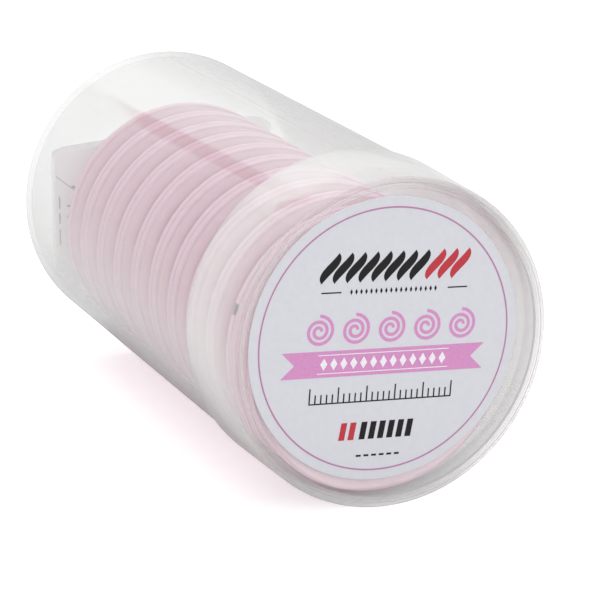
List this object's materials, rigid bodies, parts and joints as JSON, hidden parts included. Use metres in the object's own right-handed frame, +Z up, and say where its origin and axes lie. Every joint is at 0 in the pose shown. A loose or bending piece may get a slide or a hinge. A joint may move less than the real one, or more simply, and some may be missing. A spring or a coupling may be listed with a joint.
{
  "type": "canister of desoldering braid bobbins",
  "caption": "Clear round canister on its side, with a push-on cap and round label, holding a row of pink bobbins wound with copper desoldering braid.",
  "frame": {"origin": "middle of the footprint, on the surface the canister lies on", "axes": "+Y along the canister from the labelled cap to the closed end, +Z up, +X to the right seen from the cap"},
  "size_m": [0.0512, 0.0962, 0.0512],
  "materials": {
    "clear_plastic": "clear, glossy, thin moulded wall",
    "pink_plastic": "satin moulded pink plastic",
    "copper_braid": "bare copper wires, finely braided",
    "label_paper": "coated pale lilac label stock with plain print",
    "leaflet_paper": "thin uncoated grey-white paper"
  },
  "bodies": {
    "canister": {"tube": "clear_plastic", "leaflet": "leaflet_paper", "bobbin_01": "pink_plastic", "bobbin_02": "pink_plastic", "bobbin_03": "pink_plastic", "bobbin_04": "pink_plastic", "bobbin_05": "pink_plastic", "bobbin_06": "pink_plastic", "bobbin_07": "pink_plastic", "bobbin_08": "pink_plastic", "bobbin_09": "pink_plastic", "bobbin_10": "pink_plastic", "braid_coil_01": "copper_braid", "braid_coil_02": "copper_braid", "braid_coil_03": "copper_braid", "braid_coil_04": "copper_braid", "braid_coil_05": "copper_braid", "braid_coil_06": "copper_braid", "braid_coil_07": "copper_braid", "braid_coil_08": "copper_braid", "braid_coil_09": "copper_braid", "braid_coil_10": "copper_braid"},
    "cap": {"cap": "clear_plastic", "label": "label_paper"}
  },
  "joints": [
    {"name": "cap_slide", "type": "slide", "parent": "canister", "child": "cap", "axis": [0, -1, 0], "range_m": [0, 0.03]}
  ]
}
